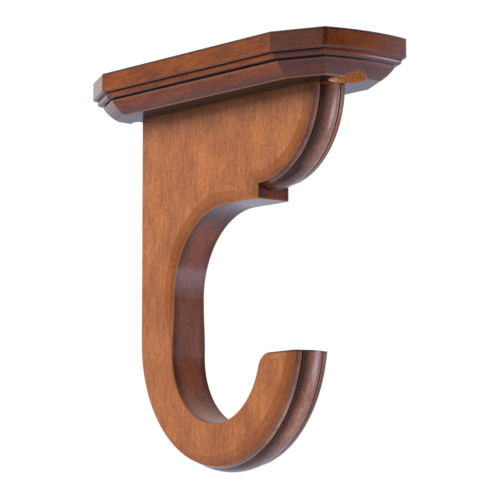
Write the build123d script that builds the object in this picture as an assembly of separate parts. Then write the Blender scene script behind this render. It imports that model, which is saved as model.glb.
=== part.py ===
from build123d import *
import math
import os

os.makedirs("parts", exist_ok=True)

# Ceiling bracket for a wooden curtain pole, in stained hardwood. A hook-shaped arm hangs edge-on
# below an oblong plate whose face is screwed to the ceiling.
# Frame: millimetres, +Z up, origin at the middle of the plate's ceiling face, +X the way the hook
# opens, Y across the arm's thickness. The arm is drawn about the middle of its seat, where the
# pole lies, and then moved to its place below the plate.

# The plate
plate_length = 178.2        # at the middle of its two bowed ends
plate_width = 67.5
plate_thickness = 18.6
end_bow_radius = 80.0       # each end swells outwards in this long arc
clip_along = 23.5           # the clipped corners, along the plate
clip_across = 11.0          # and across it
corner_round = 3.0          # softens the fascia where a clipped corner meets the end

# Section of the plate's moulded edge, from the ceiling down
arris_ease = 0.4            # how much every sharp edge is taken off
fascia_height = 8.7
fascia_ease = 0.8           # the fascia's lower edge is taken off more
ledge_width = 1.3           # the small step back below the fascia
fillet_height = 1.2         # the plain strip between that step and the bead
bead_width = 1.5            # the bead leans back
bead_height = 1.5
bead_swell = 0.4            # rise of the bead's arc over its chord
quirk_width = 1.8           # narrow groove between the bead and the ovolo
quirk_height = 0.7
quirk_undercut = 0.7        # how far the groove reaches behind the ovolo's lip
ovolo_width = 6.6
ovolo_swell = 0.6           # rise of the ovolo's arc over its chord

# The arm
board = 19.0                # thickness of the board it is sawn from
shank_width = 23.9
throat_radius = 32.2        # the seat that the pole lies in
seat_height = 130.0         # from the ceiling down to the middle of the seat
cove_radius = 38.2          # the hollow between the shank and the shelf
hook_set_back = 8.4         # from the middle of the plate back to the middle of the seat
shelf_reach = 30.0          # from the middle of the seat out to the shelf's front
front_height = 6.9          # straight stretch of the shelf's front
round_radius = 39.3         # the quarter round between the shelf and the plate
seat_wall = 18.8            # wood under the seat
heel_radius = 58.5          # outside of the hook, at the back
toe_radius = 54.7           # outside of the hook, at the front
tip_drop = 3.1              # the hook's end lies this far below the middle of the seat
tip_round = 7.5             # inner corner of the hook's end

# Section of the arm's moulded outer edge, in from each face and out from the edge line
margin_width = 3.6          # sloping margin along each face
margin_rise = 1.0
groove_width = 0.8
crown_start = 1.2           # height at which the crown leaves the groove
hook_crown_height = 2.5     # height of the crown round the hook and up the shank
round_crown_height = 3.0    # and on the quarter round
edge_root = 3.0             # depth of board that the moulded strip takes up
root_overlap = 1.0          # and how far the strip runs on into the board behind that

# Shallow bevels turned into both faces, each about a centre of its own
bevel_slope = 0.17          # drop for each millimetre of width
round_bevel = 5.3           # width along the quarter round
front_bevel = 6.6           # width down the shelf's front
cove_bevel = 5.8            # width along the hollow
hook_bevel_radius = 54.5    # where the hook's bevel starts, about a centre that lies back and up
hook_bevel_back = 2.0       # from the seat's, so that the bevel is broad at the front and runs
hook_bevel_up = 8.0         # out at the back

# Screw holes for the ceiling
hole_spacing = 146.0
hole_diameter = 5.0
mouth_diameter = 15.6
web_thickness = 8.0         # wood left between the ceiling and the screw's head

# The two screws that hold the arm, down through the plate into the arm's top
joint_screw_spacing = 80.0
joint_screw_shank = 4.0
joint_screw_head = 8.0
joint_screw_length = 45.0
joint_screw_point = 6.0
joint_screw_sink = 0.5      # the heads lie this far below the ceiling face
joint_screw_play = 0.2      # round the shank, in the plate
drive_span = 4.4            # cross recess in the head
drive_slot = 0.9
drive_depth = 1.6

past = 3.0                  # how far a cutter passes what it cuts

half_board = board / 2
top = seat_height - plate_thickness             # the arm's top, from the middle of the seat
back = throat_radius + shank_width
bottom = throat_radius + seat_wall
heel_x = heel_radius - back
heel_z = heel_radius - bottom
toe_z = toe_radius - bottom
cove_x = cove_radius - throat_radius
shelf_z = top - round_radius - front_height
throat_rise = shelf_z - cove_radius             # straight stretch of the throat wall
far_out = plate_length                          # longer than any cutter needs to be


def axis_across(x, z):
    return Axis((x, 0, z), (0, 1, 0))


def arc(x, z, radius, start, end):
    # Arc in XZ about (x, z); angles in degrees, 0 along +X and 90 up.
    def point(angle):
        turn = math.radians(angle)
        return (x + radius * math.cos(turn), 0, z + radius * math.sin(turn))

    return ThreePointArc(point(start), point((start + end) / 2), point(end))


def plate_edge(reach, behind):
    # The moulded edge as a face in XZ, `reach` out from the middle and `behind` deep.
    def point(inset, depth):
        return (reach - inset, 0, -depth)

    def swelled(inset, depth, width, height, swell):
        # Arc that goes in by `width` and down by `height`, and bulges out over its chord.
        chord = math.hypot(width, height)
        middle = point(
            inset + width / 2 - swell * height / chord,
            depth + height / 2 + swell * width / chord,
        )
        return ThreePointArc(point(inset, depth), middle, point(inset + width, depth + height))

    ledge_in = fascia_ease + ledge_width
    fillet_foot = fascia_height + fillet_height
    bead_in = ledge_in + bead_width
    bead_foot = fillet_foot + bead_height
    quirk_in = bead_in + quirk_width
    lip_in = quirk_in - quirk_undercut
    lip = bead_foot + quirk_height
    fascia = Polyline(
        point(behind, 0),
        point(arris_ease, 0),
        point(0, arris_ease),
        point(0, fascia_height - fascia_ease),
        point(fascia_ease, fascia_height),
        point(ledge_in, fascia_height),
        point(ledge_in, fillet_foot),
    )
    bead = swelled(ledge_in, fillet_foot, bead_width, bead_height, bead_swell)
    quirk = Polyline(
        bead @ 1,
        point(quirk_in, bead_foot),
        point(quirk_in, lip),
        point(lip_in, lip),
    )
    ovolo = swelled(lip_in, lip, ovolo_width, plate_thickness - lip, ovolo_swell)
    rest = Polyline(ovolo @ 1, point(behind, plate_thickness), point(behind, 0))
    return make_face([fascia, bead, quirk, ovolo, rest])


def behind_side(reach, turn):
    # All that lies behind one straight moulded edge, turned to face that way.
    slab = extrude(plate_edge(reach, far_out), amount=far_out, both=True)
    return slab.rotate(Axis.Z, turn)


def behind_end(reach, turn):
    # All that lies behind one bowed end: the same section turned about an upright axis, half way
    # round, and the plate's full depth from there back.
    middle = reach - end_bow_radius
    axis = Axis((middle, 0, 0), (0, 0, 1))
    bow = revolve(plate_edge(reach, end_bow_radius), axis, 180).rotate(axis, -90)
    slab = Box(far_out, 2 * end_bow_radius, plate_thickness)
    return (bow + Pos(middle - far_out / 2, 0, -plate_thickness / 2) * slab).rotate(Axis.Z, turn)


def joint_screw(sink):
    # Countersunk wood screw with its point down, its head that far below the ceiling face.
    shank = joint_screw_shank / 2
    head = joint_screw_head / 2
    outline = Polyline(
        (0, 0, 0),
        (head, 0, 0),
        (shank, 0, shank - head),
        (shank, 0, joint_screw_point - joint_screw_length),
        (0, 0, -joint_screw_length),
        close=True,
    )
    return Pos(0, 0, -sink) * revolve(make_face(outline), Axis.Z)


def screw_drive(sink):
    slot = Pos(0, 0, -sink - drive_depth / 2) * Box(drive_span, drive_slot, drive_depth)
    return slot + slot.rotate(Axis.Z, 90)


def corner_tip(half_length, clip_reach, clip_turn):
    # What is taken off the fascia's corner between a bowed end and its clip, to round it. The round
    # touches both, so its middle lies on an arc about the bow's centre.
    bow_x = half_length - end_bow_radius
    bow_to_round = end_bow_radius - corner_round
    across = (clip_reach - corner_round - bow_x * math.sin(clip_turn)) / bow_to_round
    clip_facing = math.pi / 2 - clip_turn
    end_facing = clip_facing - math.acos(across)
    middle_x = bow_x + bow_to_round * math.cos(end_facing)
    middle_y = bow_to_round * math.sin(end_facing)

    def outside(facing):
        return (2 * corner_round * math.cos(facing), 2 * corner_round * math.sin(facing))

    sector = Polyline(
        (0, 0),
        outside(end_facing),
        outside((end_facing + clip_facing) / 2),
        outside(clip_facing),
        close=True,
    )
    tip = extrude(make_face(sector), amount=plate_thickness, both=True)
    tip -= Cylinder(corner_round, 2 * plate_thickness)
    return Pos(middle_x, middle_y, 0) * tip


def make_plate(screw_places):
    half_length = plate_length / 2
    half_width = plate_width / 2
    half_end = half_width - clip_across
    bow = end_bow_radius - math.sqrt(end_bow_radius ** 2 - half_end ** 2)
    clip_turn = math.atan2(clip_across, clip_along)
    clip_reach = (half_length - bow) * math.sin(clip_turn) + half_end * math.cos(clip_turn)
    plate = behind_end(half_length, 0) & behind_end(half_length, 180)
    for side in (90, -90):
        plate &= behind_side(half_width, side)
        for lean in (1, -1):
            plate &= behind_side(clip_reach, side + lean * math.degrees(clip_turn))
    tip = corner_tip(half_length, clip_reach, clip_turn)
    for end in (tip, mirror(tip, Plane.YZ)):
        plate -= end
        plate -= mirror(end, Plane.XZ)

    # the ceiling screws: a clearance hole, and a wide mouth from below that breaks into the ovolo
    mouth_depth = plate_thickness - web_thickness + past
    for x in (-hole_spacing / 2, hole_spacing / 2):
        plate -= Pos(x, 0, -web_thickness) * Cylinder(hole_diameter / 2, plate_thickness)
        plate -= Pos(x, 0, -web_thickness - mouth_depth / 2) * Cylinder(
            mouth_diameter / 2, mouth_depth
        )

    # the arm's own screws, each with room round its shank and its head sunk below the face
    for x in screw_places:
        plate -= Pos(x, 0, -plate_thickness / 2) * Cylinder(
            joint_screw_shank / 2 + joint_screw_play, plate_thickness + past
        )
        plate -= Pos(x, 0, 0) * (joint_screw(joint_screw_sink) + Cylinder(
            joint_screw_head / 2, 2 * joint_screw_sink
        ))
    return plate


def arm_board():
    # The arm as it is sawn, short of its moulded outer edge.
    heel = heel_radius - edge_root
    toe = toe_radius - edge_root
    corner_z = -tip_drop - tip_round
    corner_x = math.sqrt((throat_radius + tip_round) ** 2 - corner_z ** 2)
    corner_end = math.degrees(math.atan2(-corner_z, -corner_x))     # faces the seat's middle
    throat_end = math.degrees(math.atan2(corner_z, corner_x))
    toe_end = -math.degrees(math.asin((toe_z + tip_drop) / toe))
    outline = [
        arc(heel_x, heel_z, heel, 180, 270),
        arc(heel_x, toe_z, toe, -90, toe_end),
        arc(corner_x, corner_z, tip_round, 90, corner_end),
        arc(0, 0, throat_radius, throat_end, -180),
        arc(cove_x, throat_rise, cove_radius, 180, 90),
    ]
    shelf = Polyline(
        outline[4] @ 1,
        (shelf_reach, 0, shelf_z),
        (shelf_reach, 0, shelf_z + front_height + edge_root),
    )
    quarter = arc(shelf_reach, top, round_radius - edge_root, -90, 0)
    outline += [
        Line(outline[1] @ 1, outline[2] @ 0),
        Line(outline[3] @ 1, outline[4] @ 0),
        shelf,
        quarter,
        Polyline(quarter @ 1, (edge_root - back, 0, top), outline[0] @ 0),
    ]
    sawn = extrude(make_face(outline), amount=half_board, both=True)
    faces = [e for e in sawn.edges() if abs(abs(e.center().Y) - half_board) < arris_ease]
    return chamfer([e for e in faces if e.center().Z < top - arris_ease], arris_ease)


def strip_section(radius, crown_height):
    # Moulded outer edge as a face in XY: `radius` out along X, the board's thickness along Y.
    groove = half_board - margin_width - groove_width / 2
    shoulder = half_board - margin_width - groove_width
    inner = radius - edge_root - root_overlap
    margin = [
        (radius - arris_ease, half_board),
        (radius, half_board - arris_ease),
        (radius + margin_rise, half_board - margin_width),
        (radius, groove),
        (radius + crown_start, shoulder),
    ]
    near = Polyline([(inner, -half_board)] + [(x, -y) for x, y in margin])
    crown = ThreePointArc(near @ 1, (radius + crown_height, 0), margin[-1])
    far = Polyline(margin[::-1] + [(inner, half_board), (inner, -half_board)])
    return make_face([near, crown, far])


def moulded_edge():
    # One moulding from the hook's end round the heel and up the shank, and one on the quarter round.
    strip = Pos(heel_x, 0, toe_z) * strip_section(toe_radius, hook_crown_height)
    toe = revolve(strip, axis_across(heel_x, toe_z), 90)
    strip = Pos(heel_x, 0, heel_z) * strip_section(heel_radius, hook_crown_height)
    heel_axis = axis_across(heel_x, heel_z)
    heel = revolve(strip.rotate(heel_axis, 90), heel_axis, 90)
    strip = Pos(0, 0, heel_z) * strip_section(back, hook_crown_height)
    shank = extrude(strip.rotate(Axis.Z, 180), amount=top - heel_z)
    strip = Pos(shelf_reach, 0, top) * strip_section(round_radius, round_crown_height)
    quarter = revolve(strip, axis_across(shelf_reach, top), 90)
    past_toe = toe_radius + hook_crown_height + past
    above_tip = Pos(heel_x + past_toe, 0, top - tip_drop) * Box(2 * past_toe, 2 * board, 2 * top)
    return [toe - above_tip, heel, shank, quarter]


def bevel_wedge(start, end, slope):
    # Section of a bevel's cutter in XY: it meets the near face at x = start and is deepest at end.
    run = math.copysign(past, end - start)
    over = -half_board - slope * past
    deep = -half_board + slope * abs(end - start)
    return make_face(Polyline((start - run, over), (end, deep), (end, over), close=True))


def turned_bevel(x, z, start, end, facing):
    # Cutter turned about an axis across the board, through the half turn that faces that way.
    axis = axis_across(x, z)
    wedge = Pos(x, 0, z) * bevel_wedge(start, end, bevel_slope)
    return revolve(wedge.rotate(axis, -facing - 90), axis, 180)


def face_bevels():
    # Cutters for the near face. The shelf's front meets the quarter round in a mitre, where both
    # bevels are equally deep, so only what the two cutters share is cut away there.
    front_slope = bevel_slope * round_bevel / front_bevel
    wedge = bevel_wedge(shelf_reach - front_bevel, far_out, front_slope)
    front = extrude(Pos(0, 0, shelf_z - past) * wedge, amount=top - shelf_z + 2 * past)
    quarter_start = round_radius - round_bevel
    quarter_end = round_radius + front_height + past
    quarter = turned_bevel(shelf_reach, top, quarter_start, quarter_end, -45)
    cove_start = cove_radius + cove_bevel
    cove = turned_bevel(cove_x, throat_rise, cove_start, cove_radius - past, 135)
    hook_end = heel_radius + hook_bevel_up + past
    hook = turned_bevel(-hook_bevel_back, hook_bevel_up, hook_bevel_radius, hook_end, -90)
    return [front & quarter, cove, hook]


def make_arm(screw_places):
    arm = arm_board()
    for piece in moulded_edge():
        arm += piece
    for cutter in face_bevels():
        arm -= cutter
        arm -= mirror(cutter, Plane.XZ)
    arm = Pos(-hook_set_back, 0, -seat_height) * arm
    for x in screw_places:
        arm -= Pos(x, 0, 0) * joint_screw(joint_screw_sink)
    return arm


def main():
    screw_places = [
        side * joint_screw_spacing / 2 - hook_set_back for side in (-1, 1)
    ]
    screw = joint_screw(joint_screw_sink) - screw_drive(joint_screw_sink)
    parts = {
        "ceiling_plate": make_plate(screw_places),
        "hook_arm": make_arm(screw_places),
        "arm_screw_back": Pos(screw_places[0], 0, 0) * screw,
        "arm_screw_front": Pos(screw_places[1], 0, 0) * screw,
    }
    for name, part in parts.items():
        export_step(part, f"parts/{name}.step")
        print(name, round(part.volume, 1), part.bounding_box())


main()
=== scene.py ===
import math

import bmesh
import bpy
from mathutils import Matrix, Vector

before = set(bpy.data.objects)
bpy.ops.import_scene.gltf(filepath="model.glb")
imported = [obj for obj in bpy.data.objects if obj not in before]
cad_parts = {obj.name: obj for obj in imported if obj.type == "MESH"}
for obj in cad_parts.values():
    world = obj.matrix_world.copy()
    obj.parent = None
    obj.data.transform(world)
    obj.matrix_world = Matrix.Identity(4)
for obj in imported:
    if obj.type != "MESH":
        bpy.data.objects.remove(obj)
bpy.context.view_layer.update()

print("frame loaded:", ", ".join(sorted(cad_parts)))

# Settings that many nodes share.
colourMix = {"data_type": "RGBA"}
colourTimes = {"data_type": "RGBA", "blend_type": "MULTIPLY"}
smooth = {"interpolation_type": "SMOOTHSTEP"}
times, plus, minus, over = ({"operation": o} for o in ("MULTIPLY", "ADD", "SUBTRACT", "DIVIDE"))
larger, absolute = {"operation": "MAXIMUM"}, {"operation": "ABSOLUTE"}
above, below = {"operation": "GREATER_THAN"}, {"operation": "LESS_THAN"}
dot, apart = {"operation": "DOT_PRODUCT"}, {"operation": "DISTANCE"}


def linearColour(hexColour):
    # sRGB hex to the linear values that the shaders take
    parts = [int(hexColour[i:i + 2], 16) / 255 for i in (1, 3, 5)]
    return [c / 12.92 if c <= 0.04045 else ((c + 0.055) / 1.055) ** 2.4 for c in parts] + [1.0]


def addNode(tree, kind, settings=None, links=()):
    # A shader node with its settings and inputs. The inputs are in order, or by name or number. Each
    # takes an output, a node (which stands for its first enabled output) or a plain value.
    node = tree.nodes.new("ShaderNode" + kind)
    for name, value in (settings or {}).items():
        setattr(node, name, value)
    for key, source in links.items() if isinstance(links, dict) else enumerate(links):
        if isinstance(source, bpy.types.Node):
            source = next(output for output in source.outputs if output.enabled)
        if isinstance(source, bpy.types.NodeSocket):
            tree.links.new(source, node.inputs[key])
        else:
            node.inputs[key].default_value = source
    return node


def maskWhere(tree, tests):
    # 1 where every test holds, else 0: each test is a value, above or below, and its limit
    mask = 1.0
    for value, test, limit in tests:
        mask = addNode(tree, "Math", times, (mask, addNode(tree, "Math", test, (value, limit))))
    return mask


def cellScale(across, along, axis):
    # Mapping scale for a pattern with cells of these millimetres, drawn out along one axis
    scale = [1000 / across] * 3
    scale[axis] = 1000 / along
    return scale


def emptyTree(owner):
    owner.use_nodes = True
    owner.node_tree.nodes.clear()
    return owner.node_tree


# The camera stands below the plate's height and looks up at it a little, from beyond the hook's
# open end and to the side.
cameraSetup = {
    "place": (0.9945, -0.7643, -0.2376),
    "azimuth": 52.32,
    "pitch": 6.94,
    "lens": 204.4,
}


def makeCamera(setup):
    turn, rise = math.radians(setup["azimuth"]), math.radians(setup["pitch"])
    ahead = Vector((-math.sin(turn) * math.cos(rise), math.cos(turn) * math.cos(rise), math.sin(rise)))
    data = bpy.data.cameras.new("camera")
    data.lens = setup["lens"]
    camera = bpy.data.objects.new("camera", data)
    camera.location = setup["place"]
    camera.rotation_mode = "QUATERNION"
    camera.rotation_quaternion = ahead.to_track_quat("-Z", "Y")
    bpy.context.scene.collection.objects.link(camera)
    bpy.context.scene.camera = camera


makeCamera(cameraSetup)
print("camera set")

# The studio: a white backdrop behind the object, a dimmer room on the camera's side, and a soft
# ambient light from all round.
studioSetup = {
    "backdropSide": (-0.79, 0.61, 0.0),
    "white": "#FFFFFF",
    "black": "#000000",
    "ambientColour": "#F4EEF2",
    "ambient": 0.30,
    "roomGloss": 0.12,
    "gradient": (-0.5, 0.6),    # from the room to the backdrop, along the backdrop's side
}


def makeWorld(setup):
    world = bpy.data.worlds.new("studio")
    bpy.context.scene.world = world
    tree = emptyTree(world)
    ray = addNode(tree, "LightPath").outputs
    way = addNode(tree, "TexCoord").outputs["Generated"]
    side = addNode(tree, "VectorMath", dot, (way, setup["backdropSide"]))
    gloss = addNode(tree, "MapRange", smooth, (side, *setup["gradient"], setup["roomGloss"], 1.0))
    white, black = linearColour(setup["white"]), linearColour(setup["black"])
    softLight = [c * setup["ambient"] for c in linearColour(setup["ambientColour"])[:3]] + [1.0]
    shine = addNode(tree, "Mix", colourMix, {0: gloss, 6: black, 7: white})
    lit = addNode(tree, "Mix", colourMix, {0: ray["Is Glossy Ray"], 6: softLight, 7: shine})
    seen = addNode(tree, "Math", larger, (ray["Is Camera Ray"], ray["Is Transmission Ray"]))
    colour = addNode(tree, "Mix", colourMix, {0: seen, 6: lit, 7: white})
    back = addNode(tree, "Background", {}, {"Color": colour, "Strength": 1.0})
    addNode(tree, "OutputWorld", {}, {"Surface": back})


makeWorld(studioSetup)

# Soft boxes, each with its middle, the point it faces, its width in metres, its power and colour.
lampSetup = {
    "key": {"place": (-0.5, -1.28, 0.75), "at": (0.0, 0.0, -0.09), "width": 0.9, "power": 21.0,
            "colour": "#FFFAF2"},
    "fill": {"place": (0.8, 1.1, -0.36), "at": (0.02, 0.0, -0.1), "width": 0.7, "power": 9.5,
             "colour": "#E6E2FF"},
}


def makeLamps(setups):
    for name, setup in setups.items():
        data = bpy.data.lights.new(name, "AREA")
        data.shape = "SQUARE"
        data.size = setup["width"]
        data.energy = setup["power"]
        data.color = linearColour(setup["colour"])[:3]
        lamp = bpy.data.objects.new(name, data)
        lamp.location = setup["place"]
        way = Vector(setup["at"]) - Vector(setup["place"])
        lamp.rotation_mode = "QUATERNION"
        lamp.rotation_quaternion = way.to_track_quat("-Z", "Y")
        bpy.context.scene.collection.objects.link(lamp)


makeLamps(lampSetup)
print("studio lit")

# The floor is well under the bracket, which hangs from a ceiling.
floorSetup = {
    "height": -0.95,
    "halfWidth": 8.0,
    "paint": "#E4E4E6",
    "paintWorn": "#DCDCDF",
    "inGloss": "#DCE2F8",
    "seen": "#F4F4F5",     # how the camera sees it where no shadow falls
    "seenShare": 0.75,
    "blotch": 300,         # mm
    "detail": 2.0,
    "roughness": 0.85,
    "specular": 0.2,
}


def makeFloor(setup):
    shape = bmesh.new()
    bmesh.ops.create_grid(shape, x_segments=1, y_segments=1, size=setup["halfWidth"])
    bmesh.ops.translate(shape, verts=shape.verts, vec=(0, 0, setup["height"]))
    mesh = bpy.data.meshes.new("floor")
    shape.to_mesh(mesh)
    shape.free()
    floor = bpy.data.objects.new("floor", mesh)
    bpy.context.scene.collection.objects.link(floor)
    # Matt floor paint, rolled on: even, with a faint cloudiness and no shine.
    paint = bpy.data.materials.new("matt floor paint")
    tree = emptyTree(paint)
    place = addNode(tree, "TexCoord").outputs["Object"]
    lay = addNode(tree, "Mapping", {}, {"Vector": place, "Scale": [1000 / setup["blotch"]] * 3})
    clouds = addNode(tree, "TexNoise", {}, {"Vector": lay, "Scale": 1.0, "Detail": setup["detail"]})
    colour = addNode(tree, "Mix", colourMix, {
        0: clouds, 6: linearColour(setup["paint"]), 7: linearColour(setup["paintWorn"])})
    shader = addNode(tree, "BsdfPrincipled", {}, {
        "Base Color": colour, "Roughness": setup["roughness"], "Specular IOR Level": setup["specular"]})
    # the camera sees it pale, with the shadow still on it
    ray = addNode(tree, "LightPath").outputs
    glow = addNode(tree, "Emission", {}, {"Color": linearColour(setup["seen"])})
    toCamera = addNode(tree, "Math", times, (ray["Is Camera Ray"], setup["seenShare"]))
    pale = addNode(tree, "MixShader", {}, (toCamera, shader, glow))
    # and in gloss it is as bright as the backdrop that it runs into
    bright = addNode(tree, "Emission", {}, {"Color": linearColour(setup["inGloss"])})
    both = addNode(tree, "MixShader", {}, (ray["Is Glossy Ray"], pale, bright))
    addNode(tree, "OutputMaterial", {}, {"Surface": both})
    mesh.materials.append(paint)


makeFloor(floorSetup)
print("floor laid")

# What the two woods share. A cell is in millimetres, across and along the grain. A pair named reach
# says between which values of a pattern, a hollow or an arris its effect comes in, and a pair named
# turn says between which parts of the surface's normal.
sharedWood = {
    "patterns": {
        "cloud": {"cell": (12, 24), "detail": 3.0},
        "streak": {"cell": (1.3, 9), "detail": 2.0},
        "fleck": {"cell": (0.7, 1.5), "detail": 2.0},
    },
    "patternReach": (0.3, 0.7),
    "cloudShare": 0.6,
    "streakShare": 0.4,
    "fleckReach": (0.32, 0.68),
    "flecks": (1.14, 0.8),       # the brightness of the palest and of the darkest
    "edgeTurn": (0.95, 0.8),
    "underTurn": (-0.7, -0.95),
    "hollow": "#2E130B",
    "hollowReach": (0.9, 0.45),
    "rubbedReach": (0.95, 0.68),
    "rubbedWidth": 1.2,          # mm
    "rubbedAmount": 0.7,
    "cornerSamples": 8,
    "roughness": (0.42, 0.55),
    "specular": 0.1,
    "coatTurn": (-0.3, -0.9),
    "coatRoughness": 0.22,
    "lacquerIndex": 1.5,
    "relief": 0.35,
    "reliefDepth": 0.1,          # mm
}


def startWood(look):
    # the material, and what its stains go by: place, direction, and the patterns of the grain
    material = bpy.data.materials.new(look["name"])
    tree = emptyTree(material)
    place = addNode(tree, "TexCoord").outputs["Object"]
    normal = addNode(tree, "NewGeometry").outputs["Normal"]
    facing = addNode(tree, "SeparateXYZ", {}, (normal,)).outputs
    spot = addNode(tree, "SeparateXYZ", {}, (place,)).outputs
    at = {"place": place, "normal": normal, "facing": facing, "spot": spot}
    for name, pattern in look["patterns"].items():
        scale = cellScale(*pattern["cell"], look["grainAxis"])
        lay = addNode(tree, "Mapping", {}, {"Vector": place, "Scale": scale})
        at[name] = addNode(tree, "TexNoise", {}, {
            "Vector": lay, "Scale": 1.0, "Detail": pattern["detail"]})
    # the stain lies in clouds and streaks
    parts = [addNode(tree, "Math", times, (
        addNode(tree, "MapRange", smooth, (at[name], *look["patternReach"])), look[name + "Share"]))
        for name in ("cloud", "streak")]
    at["uneven"] = addNode(tree, "Math", plus, parts)
    return material, tree, at


def stainAndShadeWood(tree, look, at, face, edge):
    # the broad faces' colour and the edges', with the flecks, painted shade on the underside, and dark
    # hollows where stain gathers and painted shade falls
    sideways = addNode(tree, "Math", absolute, (at["facing"]["Y"],))
    onEdge = addNode(tree, "MapRange", smooth, (sideways, *look["edgeTurn"]))
    colour = addNode(tree, "Mix", colourMix, {0: onEdge, 6: face, 7: edge})
    flecks = addNode(tree, "MapRange", smooth, (at["fleck"], *look["fleckReach"], *look["flecks"]))
    # painted shade: the surfaces that face down are drawn darker
    under = addNode(tree, "MapRange", smooth, (
        at["facing"]["Z"], *look["underTurn"], 1.0, look["paintedUnderShade"]))
    for shade in (flecks, under):
        grey = addNode(tree, "CombineXYZ", {}, (shade, shade, shade))
        colour = addNode(tree, "Mix", colourTimes, {0: 1.0, 6: colour, 7: grey})
    # painted shade in the hollows, on top of the dark stain that gathers there: darker where the
    # surface lies in a hollow
    depth = addNode(tree, "AmbientOcclusion", {"samples": look["cornerSamples"]}, {
        "Distance": look["hollowWidth"] / 1000}).outputs["AO"]
    hollow = addNode(tree, "MapRange", smooth, (depth, *look["hollowReach"], 0.0, look["hollowAmount"]))
    return addNode(tree, "Mix", colourMix, {0: hollow, 6: colour, 7: linearColour(look["hollow"])})


def rubbedShare(tree, look):
    # how far the stain is rubbed off where the surface turns a corner
    arris = addNode(tree, "AmbientOcclusion", {"samples": look["cornerSamples"], "inside": True}, {
        "Distance": look["rubbedWidth"] / 1000}).outputs["AO"]
    return addNode(tree, "MapRange", smooth, (arris, *look["rubbedReach"], 0.0, look["rubbedAmount"]))


def coatShare(tree, look, at):
    # how much lacquer lies on the wood, by whether the surface faces down
    return addNode(tree, "MapRange", smooth, (
        at["facing"]["Z"], *look["coatTurn"], look["coat"], look["coatUnder"]))


def lacquerWood(tree, look, at, colour, coat):
    rough = addNode(tree, "MapRange", smooth, (at["streak"], *look["patternReach"], *look["roughness"]))
    relief = addNode(tree, "Bump", {}, {
        "Height": at["fleck"], "Strength": look["relief"], "Distance": look["reliefDepth"] / 1000})
    shader = addNode(tree, "BsdfPrincipled", {}, {
        "Base Color": colour, "Roughness": rough, "IOR": look["lacquerIndex"],
        "Specular IOR Level": look["specular"], "Normal": relief, "Coat Weight": coat,
        "Coat Roughness": look["coatRoughness"], "Coat IOR": look["lacquerIndex"],
        "Coat Normal": relief})
    addNode(tree, "OutputMaterial", {}, {"Surface": shader})


# The arm's stain, with painted highlight on its moulded edges. The two lists of stain run from
# the middle of the board out to its face, in millimetres: across the moulded edges, and across the
# throat and the other plain edges.
armWood = {
    **sharedWood,
    "name": "stained and lacquered hardwood board",
    "grainAxis": 2,
    "light": "#CB7C40",
    "deep": "#A2592D",
    "bevelTint": "#9C5212",
    "bevelTurn": (0.9985, 0.9935),
    "bevelAmount": 0.42,
    "rimReach": (9.2, 8.6),      # mm from the board's middle
    "rimAmount": 0.35,
    # across the moulded edges the dark bands are stain, the pale crest is rubbed stain with painted
    # highlight on it, and the pale lilac margin is painted sheen
    "mouldedStainAndHighlight": (
        (0.0, "#DBA684"), (2.4, "#B87854"), (4.4, "#45201A"), (5.3, "#200B08"), (5.9, "#946A5C"),
        (6.5, "#E0BBAE"), (8.0, "#9C7464"), (8.85, "#2A100A"), (9.0, "#2A100A"), (9.15, "#C07A30"),
    ),
    "plainStain": (
        (0.0, "#A25A34"), (5.5, "#98502E"), (7.8, "#642F1C"), (8.7, "#2E120A"), (9.0, "#2A1008"),
        (9.15, "#C07A30"),
    ),
    "stainReach": 9.6,           # mm
    "mottle": ((1.15, 1.15, 1.15, 1.0), (0.5, 0.44, 0.44, 1.0)),
    # darker stain with painted shade on the quarter and the tip, and painted shade on the shelf's front
    "heavyStainAndShade": (0.66, 0.6, 0.62, 1.0),
    "shelfPaintedShade": (0.62, 0.52, 0.54, 1.0),
    "tipArris": 0.75,
    "paintedUnderShade": 0.5,
    "hollowWidth": 2.4,          # mm
    "hollowAmount": 0.85,
    "rubbed": "#C07024",
    "coat": 0.65,
    "coatUnder": 0.8,
}
# Where the arm's stains, painted shade and painted highlight lie, in metres: the quarter under the
# plate, the hook's outside and its tip.
armPlaces = {
    "quarterFrom": 0.0243,
    "quarterFoot": -0.0582,
    "seatMiddle": (-0.0084, 0.0, -0.13),
    "hookFrom": -0.05,
    "hookTop": -0.1,
    # painted highlight on the crown's far side, more of it on the quarter
    "farHighlightShare": 0.74,            # the far side's stain by this share of its distance
    "quarterMoreHighlight": 0.32,
    "shelfFrom": 0.018,
    "shelfTurn": 0.9,
    "tipFade": (-0.155, -0.134),
    "tipArris": (-0.1342, -0.1335),
    "tipFrom": 0.0,
    "tipBelow": -0.12,
}


def armFace(tree, look, at, offMiddle):
    # the bevels are browner than the flat of the face, and darker at the board's rim
    face = addNode(tree, "Mix", colourMix, {
        0: at["uneven"], 6: linearColour(look["light"]), 7: linearColour(look["deep"])})
    sideways = addNode(tree, "Math", absolute, (at["facing"]["Y"],))
    turned = addNode(tree, "MapRange", smooth, (sideways, *look["bevelTurn"]))
    bevel = addNode(tree, "Math", times, (turned, look["bevelAmount"]))
    face = addNode(tree, "Mix", colourMix, {0: bevel, 6: face, 7: linearColour(look["bevelTint"])})
    rimReach = [distance / 1000 for distance in look["rimReach"]]
    atRim = addNode(tree, "MapRange", smooth, (offMiddle, *rimReach))
    rim = addNode(tree, "Math", times, (atRim, look["rimAmount"]))
    return addNode(tree, "Mix", colourMix, {0: rim, 6: face, 7: linearColour(look["hollow"])})


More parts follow.
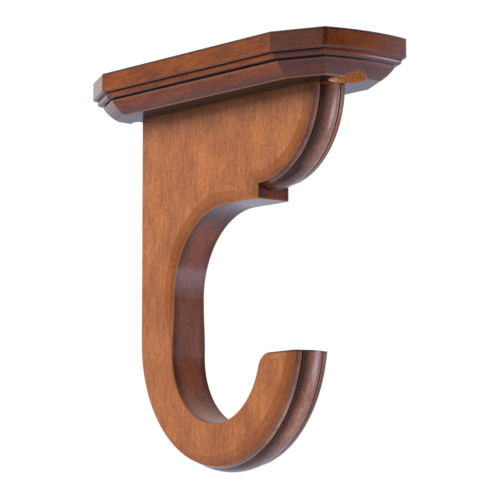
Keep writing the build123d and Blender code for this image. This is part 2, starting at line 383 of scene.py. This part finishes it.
def armEdge(tree, look, at, offMiddle, where):
    # the hook's outside faces away from the seat, and the throat faces it
    x, y, z = (at["spot"][axis] for axis in "XYZ")
    fromSeat = addNode(tree, "VectorMath", minus, (at["place"], where["seatMiddle"]))
    away = addNode(tree, "VectorMath", dot, (fromSeat, at["normal"]))
    hook = maskWhere(tree, (
        (away, above, 0.0), (x, above, where["hookFrom"]), (z, below, where["hookTop"])))
    quarter = maskWhere(tree, ((x, above, where["quarterFrom"]), (z, above, where["quarterFoot"])))
    moulded = addNode(tree, "Math", larger, (hook, quarter))
    # painted highlight: the far side of the crown is drawn paler than the near side, its stain read
    # nearer the crest
    less = addNode(tree, "Math", times, (quarter, where["quarterMoreHighlight"]))
    farHighlightShare = addNode(tree, "Math", minus, (where["farHighlightShare"], less))
    nearSide = addNode(tree, "Math", times, (y, -1.0))
    farSide = addNode(tree, "Math", times, (y, farHighlightShare))
    fromCrest = addNode(tree, "Math", larger, (nearSide, farSide))
    reach = look["stainReach"] / 1000
    ramps = {}
    for name, distance in (("plainStain", offMiddle), ("mouldedStainAndHighlight", fromCrest)):
        share = addNode(tree, "Math", over, (distance, reach))
        ramps[name] = addNode(tree, "ValToRGB", {}, (share,))
        band = ramps[name].color_ramp
        while len(band.elements) < len(look[name]):
            band.elements.new(0.5)
        for element, (stop, stain) in zip(band.elements, look[name]):
            element.position = stop / 1000 / reach
            element.color = linearColour(stain)
    stain = addNode(tree, "Mix", colourMix, {
        0: moulded, 6: ramps["plainStain"], 7: ramps["mouldedStainAndHighlight"]})
    pale, deep = look["mottle"]
    mottled = addNode(tree, "Mix", colourMix, {0: at["uneven"], 6: pale, 7: deep})
    edge = addNode(tree, "Mix", colourTimes, {0: 1.0, 6: stain, 7: mottled})
    # darker on the quarter and at the hook's tip, by stain and by painted shade, and painted shade on
    # the shelf's front, which faces away from the key lamp
    tip = addNode(tree, "MapRange", smooth, (z, *where["tipFade"]))
    strong = addNode(tree, "Math", larger, (quarter, tip))
    heavy = addNode(tree, "Math", times, (moulded, strong))
    onShelf = maskWhere(tree, (
        (at["facing"]["X"], above, where["shelfTurn"]), (x, above, where["shelfFrom"]),
        (z, below, where["quarterFoot"]), (z, above, where["hookTop"])))
    for mask, shade in ((heavy, look["heavyStainAndShade"]), (onShelf, look["shelfPaintedShade"])):
        darker = addNode(tree, "Mix", colourTimes, {0: 1.0, 6: edge, 7: shade})
        edge = addNode(tree, "Mix", colourMix, {0: mask, 6: edge, 7: darker})
    return edge


def makeArmWood(look, where):
    # Stained hardwood board under a satin lacquer, sawn, moulded and sanded: a dark stain that
    # gathers in the grooves, darkened further by painted shade, and is rubbed thin at the arrises, with
    # the wood's short dark flecks showing through and a clear film on top. Painted shade lies on the
    # parts that face down or away from the lamps, and painted highlight on the moulded crowns.
    material, tree, at = startWood(look)
    offMiddle = addNode(tree, "Math", absolute, (at["spot"]["Y"],))
    face = armFace(tree, look, at, offMiddle)
    edge = armEdge(tree, look, at, offMiddle, where)
    colour = stainAndShadeWood(tree, look, at, face, edge)
    # the arris of the hook's tip is dark and not rubbed
    high = addNode(tree, "MapRange", smooth, (at["spot"]["Z"], *where["tipArris"]))
    near = maskWhere(tree, (
        (at["spot"]["X"], above, where["tipFrom"]), (at["spot"]["Z"], below, where["tipBelow"])))
    atTip = addNode(tree, "Math", times, (high, near))
    dark = addNode(tree, "Math", times, (atTip, look["tipArris"]))
    colour = addNode(tree, "Mix", colourMix, {0: dark, 6: colour, 7: linearColour(look["hollow"])})
    offTip = addNode(tree, "Math", minus, (1.0, atTip))
    rubbed = addNode(tree, "Math", times, (rubbedShare(tree, look), offTip))
    colour = addNode(tree, "Mix", colourMix, {0: rubbed, 6: colour, 7: linearColour(look["rubbed"])})
    lacquerWood(tree, look, at, colour, coatShare(tree, look, at))
    return material


# The plate's stain, with painted shade at its ends and a painted highlight along its foot. Its
# places are heights in metres under the ceiling face, with the strength at the line, and its far
# half's reach across the plate.
plateWood = {
    **sharedWood,
    "name": "stained and lacquered hardwood moulding",
    "grainAxis": 0,
    "light": "#A0520F",
    "deep": "#6E300B",
    "toner": "#AC5820",
    "tonerDeep": "#7A3410",
    "clipTurns": ((0.2, 0.35), (0.97, 0.88)),
    # painted shade on the clipped corners and the far halves of the bowed ends
    "clipPaintedShade": (0.46, 0.37, 0.42, 1.0),
    "farEndReach": (0.0, 0.022),
    "farEndTurn": (0.8, 0.88),
    "farEndAbove": -0.3,
    "farEndPaintedShade": (0.55, 0.45, 0.4, 1.0),
    # painted highlight along the moulding's foot
    "footLine": "#C48E6C",
    "footPlace": (-0.0179, -0.0184, 0.0, 0.6),
    "footAbove": -0.93,
    "topLine": "#2A110A",
    "topPlace": (-0.0014, -0.0006, 0.0, 0.85),
    "topBelow": 0.99,
    "paintedUnderShade": 0.08,
    "hollowWidth": 1.4,          # mm
    "hollowAmount": 0.4,
    "rubbed": "#B87A55",
    "coat": 0.3,
    "coatUnder": 0.58,
    "coatEnds": 0.9,
    "coatEndTurn": (0.2, 0.4),
}
mouthLook = {
    "places": (-0.073, 0.073),
    "radius": 0.00784,
    "below": -0.0004,            # the ceiling face round the screw holes is stained
    "raw": "#FFC686",
    "dark": "#C27434",
    "cell": (0.9, 2.0),
    "detail": 3.0,
    "tornReach": (0.45, 0.7),
}


def platePaintedShadeAndLines(tree, look, at, colour, endways):
    # painted shade: the clipped corners are drawn darker than the long sides
    low, high = (addNode(tree, "MapRange", smooth, (endways, *turn)) for turn in look["clipTurns"])
    clipped = addNode(tree, "Math", times, (low, high))
    # and painted shade on the far half of each bowed end, darker than the near half
    far = addNode(tree, "MapRange", smooth, (at["spot"]["Y"], *look["farEndReach"]))
    bowed = addNode(tree, "MapRange", smooth, (endways, *look["farEndTurn"]))
    level = maskWhere(tree, ((at["facing"]["Z"], above, look["farEndAbove"]),))
    farEnd = addNode(tree, "Math", times, (addNode(tree, "Math", times, (far, bowed)), level))
    for mask, shade in ((clipped, look["clipPaintedShade"]), (farEnd, look["farEndPaintedShade"])):
        darker = addNode(tree, "Mix", colourTimes, {0: 1.0, 6: colour, 7: shade})
        colour = addNode(tree, "Mix", colourMix, {0: mask, 6: colour, 7: darker})
    # a painted highlight along the moulding's foot, and a dark line along the top edge under the
    # ceiling face
    for name, side, limit in (("foot", above, look["footAbove"]), ("top", below, look["topBelow"])):
        line = addNode(tree, "MapRange", smooth, (at["spot"]["Z"], *look[name + "Place"]))
        kept = maskWhere(tree, ((at["facing"]["Z"], side, limit),))
        line = addNode(tree, "Math", times, (line, kept))
        colour = addNode(tree, "Mix", colourMix, {
            0: line, 6: colour, 7: linearColour(look[name + "Line"])})
    return colour


def screwMouths(tree, look, at, colour, coat):
    # the screw mouths were bored after staining, so they show raw wood without lacquer
    flat = addNode(tree, "CombineXYZ", {}, (at["spot"]["X"], at["spot"]["Y"]))
    fibre = addNode(tree, "Mapping", {}, {"Vector": at["place"], "Scale": cellScale(*look["cell"], 0)})
    torn = addNode(tree, "TexNoise", {}, {"Vector": fibre, "Scale": 1.0, "Detail": look["detail"]})
    share = addNode(tree, "MapRange", smooth, (torn, *look["tornReach"]))
    raw = addNode(tree, "Mix", colourMix, {
        0: share, 6: linearColour(look["raw"]), 7: linearColour(look["dark"])})
    for holeX in look["places"]:
        off = addNode(tree, "VectorMath", apart, (flat, (holeX, 0, 0)))
        inside = maskWhere(tree, (
            (off, below, look["radius"]), (at["spot"]["Z"], below, look["below"])))
        colour = addNode(tree, "Mix", colourMix, {0: inside, 6: colour, 7: raw})
        outside = addNode(tree, "Math", minus, (1.0, inside))
        coat = addNode(tree, "Math", times, (coat, outside))
    return colour, coat


def makePlateWood(look, mouths):
    # Stained hardwood moulding under a satin lacquer, with mitred corners: the same stain and film
    # as the arm's, the film laid heavier at the ends, painted shade on the clipped corners and the far
    # halves of the bowed ends, and raw wood where the screw mouths were bored.
    material, tree, at = startWood(look)
    face, edge = (addNode(tree, "Mix", colourMix, {
        0: at["uneven"], 6: linearColour(look[pale]), 7: linearColour(look[dark])})
        for pale, dark in (("light", "deep"), ("toner", "tonerDeep")))
    colour = stainAndShadeWood(tree, look, at, face, edge)
    colour = addNode(tree, "Mix", colourMix, {
        0: rubbedShare(tree, look), 6: colour, 7: linearColour(look["rubbed"])})
    endways = addNode(tree, "Math", absolute, (at["facing"]["X"],))
    more = addNode(tree, "MapRange", smooth, (
        endways, *look["coatEndTurn"], 0.0, look["coatEnds"] - look["coat"]))
    coat = addNode(tree, "Math", plus, (coatShare(tree, look, at), more))
    colour = platePaintedShadeAndLines(tree, look, at, colour, endways)
    colour, coat = screwMouths(tree, mouths, at, colour, coat)
    lacquerWood(tree, look, at, colour, coat)
    return material


steelLook = {
    "bright": "#C9C6BC",
    "dull": "#A5A298",
    "marks": (3.0, 0.35),        # mm, a turning mark's length and pitch
    "detail": 2.0,
    "roughness": (0.25, 0.45),
}


def makeSteel(look):
    # Zinc-plated steel screws, cold headed and plated: pale grey metal with fine turning marks.
    material = bpy.data.materials.new("zinc plated steel")
    tree = emptyTree(material)
    place = addNode(tree, "TexCoord").outputs["Object"]
    lay = addNode(tree, "Mapping", {}, {"Vector": place, "Scale": cellScale(*look["marks"], 2)})
    marks = addNode(tree, "TexNoise", {}, {"Vector": lay, "Scale": 1.0, "Detail": look["detail"]})
    colour = addNode(tree, "Mix", colourMix, {
        0: marks, 6: linearColour(look["bright"]), 7: linearColour(look["dull"])})
    rough = addNode(tree, "MapRange", {}, (marks, 0.0, 1.0, *look["roughness"]))
    shader = addNode(tree, "BsdfPrincipled", {}, {
        "Base Color": colour, "Roughness": rough, "Metallic": 1.0})
    addNode(tree, "OutputMaterial", {}, {"Surface": shader})
    return material


steel = makeSteel(steelLook)
finishes = {
    "hook_arm": makeArmWood(armWood, armPlaces),
    "ceiling_plate": makePlateWood(plateWood, mouthLook),
    "arm_screw_back": steel,
    "arm_screw_front": steel,
}
for nodeName, finish in finishes.items():
    for slot in bpy.data.objects[nodeName].material_slots:
        slot.material = finish
print("wood and steel finished")

bpy.context.scene.view_settings.view_transform = "Standard"
